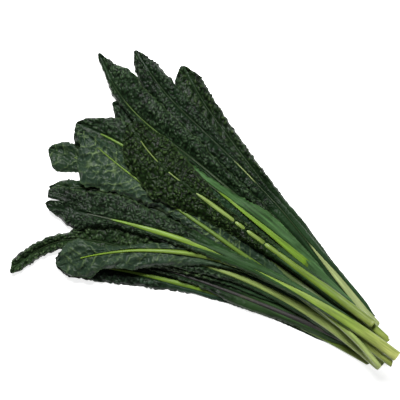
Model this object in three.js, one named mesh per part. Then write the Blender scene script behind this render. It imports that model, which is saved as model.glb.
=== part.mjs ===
// A bunch of lacinato kale lying on a flat surface, from its cut ends near -X to its leaf tips at +X.
// Each leaf is laid in turn over those below it: a pale stalk that runs on as the midrib, and a dark
// blade that is open along the rib and closed round its tip. Millimetres and degrees, +Z up.
import * as THREE from "three";

const middle = [196, 3.7]; // where the middle of the bunch lies, measured from the cut ends
const bladeThick = 1.2;
const layerGap = 0.6; // air between one leaf and the next
const slotGap = 0.4; // air between a blade and its own rib
const stationStep = 14; // along a leaf
const sheathDroop = 2.5; // how far the narrow wings hang at the foot of a blade
const marginRoll = 3; // how far a margin turns down
const stalk = { halfWidth: 3.4, depth: 5.6, endHalfWidth: 1, endDepth: 1.5, proud: 0.2 };
const wave = { height: 2.2, length: 47 }; // ruffles along a margin
const pucker = 0.6;
const wingStart = 1.4; // how far a blade stands out of its stalk where it begins
const pressed = 0.6; // a stalk this close to the surface lies flat on it
const sag = { rib: 1, blade: 0.3 }; // load that bends a leaf down, against the square of its rib's depth

// In the order in which they are laid. root: where the stalk was cut. heading: direction from +X at the
// cut, at the tip, and the extra turn of the tip itself. foot: where the blade begins. lift: how high the
// +Y and the -Y margin stand over the rib. tip: height, half width and roundness of the end. Margins are
// given by edge, the half width at distances from the cut end, for each side, or else by half, the widest
// half blades. peak: share of the blade where it is widest. wing: least half width that a blade soon
// reaches. ribTo: share of the leaf that the rib reaches. blunt: how far the tip's corners stay behind, on
// each side. notch: how deep the -Y half of the tip is split. stout: how wide the stalk is at its cut end,
// against the others.
const leafShape = { foot: 80, peak: 0.6, wing: 4, ribTo: 0.93, blunt: [5, 5], notch: 0, stout: 1 };
const leaves = [
  {
    root: [11, 14.8], heading: [1, 29, -1], length: 326, foot: 100, lift: [2, 5], tip: [2, 5, 0.4],
    edge: [
      [[100, 5.5], [124, 7], [148, 7.8], [178, 9.8], [202, 11.8],
        [228, 15.4], [258, 17.8], [288, 18.4], [314, 18], [326, 13]],
      [[100, 4], [150, 8], [220, 14], [290, 12], [326, 7]],
    ],
  },
  {
    root: [30.2, -17.6], heading: [-19, -19, -10], length: 312, foot: 24, lift: [6, 3], tip: [2, 4, 0.5],
    edge: [
      [[24, 7], [80, 9], [150, 12], [220, 15], [285, 17], [297, 15.8], [306, 11.5], [312, 6.5]],
      [[24, 8.2], [73, 7], [116, 8.2], [138, 7.2], [165, 7], [186, 7.9],
        [205, 7.7], [224, 9], [282, 10.7], [297, 9.6], [306, 6.6], [312, 3.2]],
    ],
  },
  {
    root: [12, -6.5], heading: [-8, -11, 7], length: 352, foot: 130, half: [22, 21], lift: [3, 3],
    tip: [2, 4, 0.55],
  },
  {
    root: [2, 3], heading: [2, -4, 18], length: 386, lift: [3, 5], tip: [2, 12, 0.25],
    edge: [
      [[80, 7.5], [180, 8], [300, 9], [347, 10.8], [362, 17], [374, 19], [380, 15.5], [386, 10]],
      [[80, 5], [180, 12], [300, 14], [350, 13], [378, 11.5], [386, 6.5]],
    ],
  },
  {
    root: [12.1, 5.1], heading: [7, 19, 11], length: 301, lift: [2, 3], tip: [4, 3, 0.6],
    edge: [
      [[80, 8], [104, 9], [128, 10], [152, 10], [176, 6], [270, 4.5], [301, 2]],
      [[80, 4.5], [150, 8], [220, 10], [270, 9], [301, 3]],
    ],
  },
  {
    root: [5, -2.5], heading: [4, 26, 53], length: 395, foot: 110, half: [12, 20],
    lift: [2, 6], tip: [6, 3, 0.6],
    finger: [0.7, 7.6],
  },
  {
    root: [10, -12], heading: [-3, -4, 14], length: 368, foot: 110, lift: [3, 5], tip: [6, 8, 0.3],
    edge: [
      [[110, 5], [180, 12], [260, 18], [330, 18], [352, 20], [362, 21.5], [368, 20]],
      [[110, 5], [180, 12], [260, 18], [325, 21.4], [335, 20.4], [346, 15.3], [359, 11], [368, 7.5]],
    ],
  },
  {
    root: [26, -20.5], heading: [-19, -6, -18], length: 356, foot: 34, lift: [-5, 3], tip: [3, 3, 0.55],
    edge: [
      [[34, 4.5], [120, 9], [200, 14], [280, 17], [320, 15], [340, 10.5], [351, 5], [356, 2.5]],
      [[34, 4.5], [157, 5], [217, 6], [239, 9], [261, 11.8], [300, 13.2],
        [321, 12], [331, 11.6], [340, 8.2], [351, 4.2], [356, 2.5]],
    ],
  },
  {
    root: [5.2, 10], heading: [-8, 27, 9], length: 286, stout: 1.2, lift: [3, 3], tip: [5, 3, 0.6],
    edge: [
      [[80, 7.3], [96, 7.6], [145, 5.8], [176, 7.4], [206, 10], [250, 10], [286, 3]],
      [[80, 5], [150, 7], [206, 8], [250, 7], [286, 3]],
    ],
  },
  {
    root: [15.2, 1.6], heading: [-12, 23, 11], length: 362, foot: 70, lift: [-2, 2], tip: [4, 2, 0.5],
    faceDown: true,
    edge: [
      [[70, 4.5], [120, 7], [180, 12], [240, 14], [290, 9], [331, 3.4], [352, 3.4], [362, 2.4]],
      [[70, 4.5], [120, 6], [180, 9], [240, 11], [300, 9],
        [322, 6.6], [334, 6.2], [344, 7.7], [354, 5.6], [362, 2.6]],
    ],
  },
  {
    root: [2, 2.5], heading: [-3, -1, -8], length: 371, foot: 100, lift: [2, 4], tip: [6, 5, 0.3],
    faceDown: true,
    edge: [
      [[100, 5], [180, 8], [240, 9], [261, 10], [276, 14], [307, 24],
        [319, 29], [335, 36.5], [344, 28], [363, 11], [371, 8]],
      [[100, 5], [180, 14], [240, 16], [323, 13], [352, 9], [371, 4]],
    ],
  },
  {
    root: [14.7, -6.9], heading: [-17, 2, -35], length: 394, lift: [4, 5], tip: [4, 2, 0.75],
    edge: [
      [[80, 5], [160, 9], [260, 10], [320, 7.4], [342, 5.6], [351, 6.8], [364, 5], [378, 2.8], [394, 2.2]],
      [[80, 5], [180, 11], [238, 14.5], [284, 20.8], [306, 23],
        [352, 23.2], [366, 19.5], [374, 14.8], [381, 9.6], [394, 4]],
    ],
  },
  {
    root: [12.3, 11.2], heading: [-19, 52, 0], length: 338, foot: 100, lift: [3, 4], tip: [6, 5, 0.3],
    faceDown: true,
    edge: [
      [[100, 5], [154, 5.6], [181, 7], [214, 12.5], [262, 17.8],
        [293, 14.2], [311, 22], [320, 18], [329, 16.2], [338, 11]],
      [[100, 4.5], [203, 5], [237, 4.6], [273, 4], [293, 6.4], [311, 18.4], [327, 17], [338, 10]],
    ],
  },
  {
    root: [16, -13.5], heading: [-9, -3, -13], length: 300, foot: 40, lift: [3, 5], tip: [12, 4, 0.5],
    edge: [
      [[40, 5], [100, 8], [180, 12], [260, 12], [300, 4]],
      [[40, 5.2], [82, 5.5], [105, 9.3], [139, 13.5], [167, 14.3], [193, 9], [224, 6], [260, 6], [300, 3]],
    ],
  },
  {
    root: [-4.1, -5.1], heading: [-5, 26, 0], length: 371, foot: 50, stout: 1.5,
    lift: [-5, 4], tip: [8, 12, 0.22],
    ribTo: 0.89, blunt: [4, 0], notch: 17,
    edge: [
      [[50, 5], [235, 6.4], [293, 7.4], [315, 10.4], [328, 14], [338, 17.8], [350, 15], [362, 8], [371, 4]],
      [[50, 5], [147, 6.2], [189, 7], [218, 10.8], [263, 17],
        [295, 23.6], [322, 23.2], [358, 20.4], [371, 18.8]],
    ],
  },
  {
    root: [32, -18.5], heading: [-3, -3, -22], length: 305, foot: 24, stout: 1.2,
    lift: [-4, -5], tip: [14, 11, 0.25],
    edge: [
      [[24, 5], [107, 7], [152, 10.5], [197, 17], [223, 25],
        [238, 28.5], [261, 26.4], [278, 23], [294, 15.5], [305, 9]],
      [[24, 5], [88, 6], [123, 9.9], [165, 9.6], [195, 11.1],
        [207, 15.5], [240, 20.7], [265, 21.8], [290, 14.8], [305, 8]],
    ],
  },
].map((leaf) => ({ ...leafShape, ...leaf }));

const leafColour = 0x2f4a30;
const underColour = 0x4d6850;
const stalkColour = 0x9cb04c;

const radians = THREE.MathUtils.degToRad;
const smooth = (x) => THREE.MathUtils.smoothstep(x, 0, 1);
const mix = THREE.MathUtils.lerp;

// The same draws every time.
function seededDraw(seed) {
  let state = seed;
  return () => {
    state = (Math.imul(state, 1664525) + 1013904223) >>> 0;
    return state / 4294967296;
  };
}

// How high the bunch stands so far, over the surface that it lies on.
const ground = { low: [-60, -200], cell: 0.6, count: [860, 660] };
ground.heights = new Float64Array(ground.count[0] * ground.count[1]);

function cellOf(x, y) {
  return [Math.round((x - ground.low[0]) / ground.cell), Math.round((y - ground.low[1]) / ground.cell)];
}

function heightNear(x, y) {
  const [i, j] = cellOf(x, y);
  let highest = 0;
  for (let di = -1; di <= 1; di++) {
    for (let dj = -1; dj <= 1; dj++) {
      highest = Math.max(highest, ground.heights[(i + di) * ground.count[1] + j + dj]);
    }
  }
  return highest;
}

function raiseGround(points, triangles) {
  for (let k = 0; k < triangles.length; k += 3) {
    const [a, b, c] = [points[triangles[k]], points[triangles[k + 1]], points[triangles[k + 2]]];
    const area = (b[0] - a[0]) * (c[1] - a[1]) - (c[0] - a[0]) * (b[1] - a[1]);
    if (Math.abs(area) < 1e-6) continue;
    const low = cellOf(Math.min(a[0], b[0], c[0]), Math.min(a[1], b[1], c[1]));
    const high = cellOf(Math.max(a[0], b[0], c[0]), Math.max(a[1], b[1], c[1]));
    for (let i = low[0]; i <= high[0]; i++) {
      for (let j = low[1]; j <= high[1]; j++) {
        const x = ground.low[0] + i * ground.cell;
        const y = ground.low[1] + j * ground.cell;
        const p = ((x - a[0]) * (c[1] - a[1]) - (c[0] - a[0]) * (y - a[1])) / area;
        const q = ((b[0] - a[0]) * (y - a[1]) - (x - a[0]) * (b[1] - a[1])) / area;
        if (p < 0 || q < 0 || p + q > 1) continue;
        const z = a[2] + p * (b[2] - a[2]) + q * (c[2] - a[2]);
        const at = i * ground.count[1] + j;
        ground.heights[at] = Math.max(ground.heights[at], z);
      }
    }
  }
}

// A point of a leaf's centre line, and its heading there.
function along(leaf, s) {
  const steps = 120;
  const [first, last, hook] = leaf.heading;
  const headingAt = (share) => radians(first + (last - first) * share + hook * smooth((share - 0.72) / 0.28));
  let [x, y] = leaf.root;
  for (let k = 0; k < steps; k++) {
    const heading = headingAt(((k + 0.5) / steps) * (s / leaf.length));
    x += (Math.cos(heading) * s) / steps;
    y += (Math.sin(heading) * s) / steps;
  }
  return { x, y, heading: headingAt(s / leaf.length) };
}

// Stations from the cut end to the tip. The blade begins at one of them and the rib ends at one.
function stationsOf(leaf) {
  const ribTo = leaf.ribTo * leaf.length;
  const cuts = [0, leaf.foot, ribTo, leaf.length];
  const list = [0];
  for (let k = 1; k < cuts.length; k++) {
    const count = Math.max(1, Math.round((cuts[k] - cuts[k - 1]) / stationStep));
    for (let m = 1; m <= count; m++) list.push(mix(cuts[k - 1], cuts[k], m / count));
  }
  return { list, foot: list.indexOf(leaf.foot), ribTo: list.indexOf(ribTo) };
}

function stalkSize(leaf, s) {
  const share = Math.min(1, s / (0.93 * leaf.length));
  const thin = Math.pow(share, 0.8);
  return {
    half: mix(leaf.stout * stalk.halfWidth, stalk.endHalfWidth, thin),
    depth: mix(stalk.depth, stalk.endDepth, thin),
  };
}

// Half the width of a blade on one side, at a distance s from the cut end.
function bladeHalf(leaf, side, s) {
  const narrow = stalkSize(leaf, s).half + slotGap + wingStart;
  if (leaf.edge) {
    const list = leaf.edge[side];
    const k = Math.max(1, list.findIndex(([at]) => at >= Math.min(s, leaf.length)));
    const [[from, a], [to, b]] = [list[k - 1], list[k]];
    return Math.max(mix(a, b, (s - from) / (to - from)), s > leaf.ribTo * leaf.length ? 0 : narrow);
  }
  const share = (s - leaf.foot) / (leaf.length - leaf.foot);
  const [, tipHalf, round] = leaf.tip;
  const past = Math.max(0, (share - leaf.peak) / (1 - leaf.peak));
  const fall = Math.pow(Math.max(0, 1 - past * past), round);
  const full = tipHalf + (leaf.half[side] - tipHalf) * smooth(share / leaf.peak) * fall;
  const least = mix(narrow, stalkSize(leaf, s).half + leaf.wing, smooth(share / 0.15)) * (past > 0 ? fall : 1);
  let half = Math.max(least, mix(narrow, full, smooth(share / 0.3)));
  if (leaf.finger) half = mix(half, Math.min(half, leaf.finger[1]), smooth((share - leaf.finger[0]) / 0.06));
  return half;
}

// Height of a blade over its rib. out is 0 at the rib and 1 at the margin.
function bladeRise(leaf, side, out, s, phase) {
  const share = (s - leaf.foot) / (leaf.length - leaf.foot);
  const grown = smooth(share / 0.4);
  const fold = leaf.lift[side] * (1.5 * out - 0.5 * out * out) * grown;
  const droop = -sheathDroop * out * (1 - smooth(share / 0.3));
  const roll = -marginRoll * smooth((out - 0.5) / 0.5) * grown;
  const ruffle = wave.height * out * out * grown * Math.sin((2 * Math.PI * s) / wave.length + phase + 2.2 * side);
  return fold + droop + roll + ruffle;
}

// The top of a leaf before it is laid: rows of six points, from the -Y margin to the +Y margin.
function flatLeaf(leaf, index) {
  const draw = seededDraw(71 + index);
  const phase = 2 * Math.PI * draw();
  const stations = stationsOf(leaf);
  const last = stations.list.length - 1;
  const rows = stations.list.map((s, i) => {
    const place = along(leaf, s);
    const size = stalkSize(leaf, s);
    const bladed = i >= stations.foot;
    const slot = size.half + slotGap;
    const inner = i > stations.ribTo ? Math.min(slot, 0.35 * bladeHalf(leaf, 0, s)) : slot;
    const late = Math.max(0, (i - stations.ribTo) / (last - stations.ribTo));
    const columns = [];
    for (const side of [1, 0]) {
      const ragged = s > 0.4 * leaf.length ? 1 + 0.07 * (2 * draw() - 1) : 1;
      const edge = Math.max(bladed ? ragged * bladeHalf(leaf, side, s) : 0, inner + wingStart);
      const outs = side ? [1, 0.5, 0] : [0, 0.5, 1];
      for (const out of outs) {
        const offset = (side ? -1 : 1) * mix(inner, edge, out);
        const split = side && out === 0.5 ? leaf.notch : 0;
        const back = along(leaf, s - late * (leaf.blunt[side] * out * out + split));
        const rough = out > 0 && s > 0.4 * leaf.length ? pucker * (2 * draw() - 1) : 0;
        columns.push({
          x: back.x - Math.sin(back.heading) * offset,
          y: back.y + Math.cos(back.heading) * offset,
          rise: (bladed ? bladeRise(leaf, side, out, s, phase) : 0) + rough,
        });
      }
    }
    return { s, place, size, columns };
  });
  return { rows, stations };
}

// Blade cells lie between two rows and two columns. Those over the rib are open.
function hasCell(leaf, stations, i, j) {
  if (i < stations.foot || i > stations.list.length - 2 || j < 0 || j > 4) return false;
  return j !== 2 || i >= stations.ribTo;
}

// How far the rib reaches over and under the blade's top.
function ribReach(leaf, size) {
  return leaf.faceDown
    ? { over: 0.6 * size.depth, under: 0.4 * size.depth }
    : { over: stalk.proud, under: size.depth };
}

// Height of the leaf's line at each of its points: it clears what lies below, and it bends as a stalk does.
function layOn(leaf, flat) {
  const { rows, stations } = flat;
  const need = rows.map(() => new Array(6).fill(-Infinity));
  const sample = 8;
  for (let i = 0; i + 1 < rows.length; i++) {
    for (let j = 0; j < 5; j++) {
      const isRib = j === 2 && i < stations.ribTo;
      if (!isRib && !hasCell(leaf, stations, i, j)) continue;
      const corners = [rows[i].columns[j], rows[i + 1].columns[j], rows[i + 1].columns[j + 1], rows[i].columns[j + 1]];
      let most = -Infinity;
      for (let a = 0; a <= 2 * sample; a++) {
        for (let b = 0; b <= sample; b++) {
          const [u, v] = [a / (2 * sample), b / sample];
          const shares = [(1 - u) * (1 - v), u * (1 - v), u * v, (1 - u) * v];
          const at = (key) => corners.reduce((sum, corner, k) => sum + shares[k] * corner[key], 0);
          const below = heightNear(at("x"), at("y"));
          const clear = below > 0 ? below + layerGap : 0;
          const depth = isRib ? ribReach(leaf, rows[i].size).under : bladeThick - at("rise");
          most = Math.max(most, clear + depth);
        }
      }
      for (const [m, n] of [[i, j], [i + 1, j], [i + 1, j + 1], [i, j + 1]]) need[m][n] = Math.max(need[m][n], most);
    }
  }
  const last = rows.length - 1;
  const line = need.map((row, i) => row.map((z) => Math.max(z, i === last ? leaf.tip[0] : 0)));
  const floor = line.map((row) => [...row]);
  for (let round = 0; round < 1500; round++) {
    for (let i = 0; i <= last; i++) {
      for (let j = 0; j < 6; j++) {
        const onRib = j === 2 || j === 3;
        let force = onRib ? -sag.rib : -sag.blade;
        let stiffness = 0;
        for (const n of [j - 1, j + 1]) {
          if (n < 0 || n > 5) continue;
          const hold = Math.min(j, n) === 2 ? 8 : 0.4;
          force += hold * line[i][n];
          stiffness += hold;
        }
        for (const m of [i - 1, i + 1]) {
          if (m < 0 || m > last) continue;
          force += 0.3 * line[m][j];
          stiffness += 0.3;
        }
        for (const m of [i - 1, i, i + 1]) {
          if (m < 1 || m >= last) continue;
          const bend = onRib ? rows[m].size.depth ** 2 : 0.5;
          const share = m === i ? -2 : 1;
          const rest = line[m - 1][j] - 2 * line[m][j] + line[m + 1][j] - share * line[i][j];
          force -= bend * share * rest;
          stiffness += bend * share * share;
        }
        line[i][j] = Math.max(floor[i][j], force / stiffness);
      }
    }
  }
  return line;
}

function geometryOf(points, triangles) {
  const geometry = new THREE.BufferGeometry();
  geometry.setAttribute("position", new THREE.Float32BufferAttribute(points.flat(), 3));
  geometry.setIndex(triangles);
  geometry.computeVertexNormals();
  return geometry;
}

// A closed sheet: the cells that are there, above and below, and a wall wherever one ends.
function bladeSolid(leaf, flat, line) {
  const { rows, stations } = flat;
  const points = [];
  const topAt = (i, j) => i * 6 + j;
  const bottomAt = (i, j) => rows.length * 6 + i * 6 + j;
  for (const drop of [0, bladeThick]) {
    rows.forEach((row, i) =>
      row.columns.forEach((column, j) => points.push([column.x, column.y, line[i][j] + column.rise - drop])),
    );
  }
  const triangles = [];
  const wall = (i, j, m, n) => {
    triangles.push(topAt(i, j), bottomAt(i, j), bottomAt(m, n), topAt(i, j), bottomAt(m, n), topAt(m, n));
  };
  for (let i = 0; i + 1 < rows.length; i++) {
    for (let j = 0; j < 5; j++) {
      if (!hasCell(leaf, stations, i, j)) continue;
      for (const [at, turned] of [[topAt, false], [bottomAt, true]]) {
        const [a, b, c, d] = [at(i, j), at(i + 1, j), at(i + 1, j + 1), at(i, j + 1)];
        if (turned) triangles.push(a, c, b, a, d, c);
        else triangles.push(a, b, c, a, c, d);
      }
      if (!hasCell(leaf, stations, i, j - 1)) wall(i, j, i + 1, j);
      if (!hasCell(leaf, stations, i, j + 1)) wall(i + 1, j + 1, i, j + 1);
      if (!hasCell(leaf, stations, i - 1, j)) wall(i, j + 1, i, j);
      if (!hasCell(leaf, stations, i + 1, j)) wall(i + 1, j, i + 1, j + 1);
    }
  }
  return { points, triangles };
}

// The stalk and the rib in one: a six-sided bar, round beneath the leaf and flat on its face.
function stalkSolid(leaf, flat, line) {
  const { rows, stations } = flat;
  const points = [];
  const rings = rows.slice(0, stations.ribTo + 1).map((row, i) => {
    const s = i === stations.ribTo ? row.s - slotGap : row.s;
    return { s, top: Math.max(line[i][2], line[i][3]) };
  });
  for (const ring of rings) {
    const place = along(leaf, ring.s);
    const size = stalkSize(leaf, ring.s);
    const reach = ribReach(leaf, size);
    const [flatSide, roundSide] = leaf.faceDown ? [-reach.under, reach.over] : [reach.over, -reach.under];
    const shoulder = mix(flatSide, roundSide, 0.35);
    const section = [[-1, shoulder], [-0.6, roundSide], [0.6, roundSide], [1, shoulder], [0.6, flatSide], [-0.6, flatSide]];
    for (const [across, up] of section) {
      const offset = across * size.half;
      const x = place.x - Math.sin(place.heading) * offset;
      const y = place.y + Math.cos(place.heading) * offset;
      const z = ring.top + up;
      points.push([x, y, z < pressed ? 0 : z]);
    }
  }
  const triangles = [];
  const add = (a, b, c) => (leaf.faceDown ? triangles.push(a, b, c) : triangles.push(a, c, b));
  for (let i = 0; i + 1 < rings.length; i++) {
    for (let k = 0; k < 6; k++) {
      const [a, b] = [i * 6 + k, i * 6 + ((k + 1) % 6)];
      add(a, a + 6, b);
      add(b, a + 6, b + 6);
    }
  }
  const end = (rings.length - 1) * 6;
  for (let k = 1; k < 5; k++) {
    add(0, k, k + 1);
    add(end, end + k + 1, end + k);
  }
  return { points, triangles };
}

function pieceMesh(name, solid, colour, roughness, root) {
  const local = solid.points.map(([x, y, z]) => [x - root[0], y - root[1], z]);
  const material = new THREE.MeshStandardMaterial({ color: colour, roughness, metalness: 0 });
  const mesh = new THREE.Mesh(geometryOf(local, solid.triangles), material);
  mesh.name = name;
  return mesh;
}

const bunch = new THREE.Group();
bunch.position.set(-middle[0], -middle[1], 0);
leaves.forEach((leaf, index) => {
  const flat = flatLeaf(leaf, index);
  const line = layOn(leaf, flat);
  const blade = bladeSolid(leaf, flat, line);
  const rib = stalkSolid(leaf, flat, line);
  raiseGround(blade.points, blade.triangles);
  raiseGround(rib.points, rib.triangles);
  const number = String(index + 1).padStart(2, "0");
  const whole = new THREE.Group();
  whole.position.set(leaf.root[0], leaf.root[1], 0);
  const bladeColour = leaf.faceDown ? underColour : leafColour;
  whole.add(pieceMesh(`leaf_${number}_blade`, blade, bladeColour, 0.6, leaf.root));
  whole.add(pieceMesh(`leaf_${number}_stalk`, rib, stalkColour, 0.45, leaf.root));
  bunch.add(whole);
});

const kaleBunch = new THREE.Group();
kaleBunch.add(bunch);
export default kaleBunch;
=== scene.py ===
import math
import bpy
import numpy as np
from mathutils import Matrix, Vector, kdtree
from mathutils.bvhtree import BVHTree


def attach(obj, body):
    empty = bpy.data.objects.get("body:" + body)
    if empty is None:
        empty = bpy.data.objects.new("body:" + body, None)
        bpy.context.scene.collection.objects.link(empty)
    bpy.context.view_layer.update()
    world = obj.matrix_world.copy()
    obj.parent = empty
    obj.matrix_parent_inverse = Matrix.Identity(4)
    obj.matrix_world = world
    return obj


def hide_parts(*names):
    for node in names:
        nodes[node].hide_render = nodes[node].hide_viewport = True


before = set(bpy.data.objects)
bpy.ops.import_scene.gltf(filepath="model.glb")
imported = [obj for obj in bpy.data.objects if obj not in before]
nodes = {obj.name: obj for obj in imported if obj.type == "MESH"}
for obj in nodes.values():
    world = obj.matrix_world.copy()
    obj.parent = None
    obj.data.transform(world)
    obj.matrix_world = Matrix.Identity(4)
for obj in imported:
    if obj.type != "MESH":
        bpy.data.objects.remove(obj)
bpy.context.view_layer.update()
print("frame loaded,", len(nodes), "nodes")

mm = 0.001

# The bunch as a whole, in millimetres, measured from the cut ends and then moved so that its middle
# is at the origin.
bunch = {
    "middle": (196, 3.7),
    "slotGap": 0.4,
    "wingStart": 1.4,
    "lowest": 0.75,  # no blade comes nearer to the table than this
}

# Every leaf has these unless its own entry says otherwise, in millimetres. Side 0 is +Y, side 1 is -Y.
# edge: half width at distances from the cut end. ribHalf: the same for the stalk and its rib.
# blisterFrom: where the smooth part of the blade, of the colour plain, gives way to blisters. pale:
# stretches where the rib is pale. ribHide: stretches that the blade closes over, and how long the openings
# are that end them. trim: how much the cut end is shortened. sway: how far the leaf lies beside its centre
# line. wave: slow unevenness of the blade. ragged: how uneven its margin is. step: size of its faces.
leafShape = {
    "foot": 80, "peak": 0.6, "wing": 4, "ribTo": 0.93, "blunt": (5, 5), "notch": 0, "finger": None,
    "half": None, "edge": None, "ribHalf": None, "faceDown": False, "netted": False, "smooth": None,
    "step": 1.05, "cell": 3.4, "blister": 2.3, "ruffle": 1.5, "curl": 2.4, "blisterFrom": (110, 190),
    "pale": ((0, 120),), "ribHide": (), "trim": 0, "sway": ((0, 0),), "wave": 0.8, "ragged": 1,
    # the tops of the blisters get a painted highlight, and the creases between them a painted shade made from
    # dark
    "dark": (0.007, 0.018, 0.007), "mid": (0.018, 0.040, 0.016), "crestHighlight": (0.056, 0.092, 0.044),
    "plain": (0.024, 0.060, 0.022), "vein": (0.10, 0.15, 0.05), "veinShare": 0.03,
    "rib": (0.030, 0.050, 0.020), "stalkEnd": (0.33, 0.38, 0.09), "stalkMid": (0.13, 0.22, 0.035),
    "stalkTip": (0.15, 0.25, 0.04),
}
netted = {
    "netted": True, "blister": 1.1, "cell": 5.4, "crestHighlight": (0.020, 0.038, 0.022), "vein": (0.10, 0.15, 0.06),
    "veinShare": 0.8,
}
underSide = {
    **netted, "faceDown": True, "dark": (0.014, 0.030, 0.017), "mid": (0.028, 0.053, 0.031), "step": 1.0,
}

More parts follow.
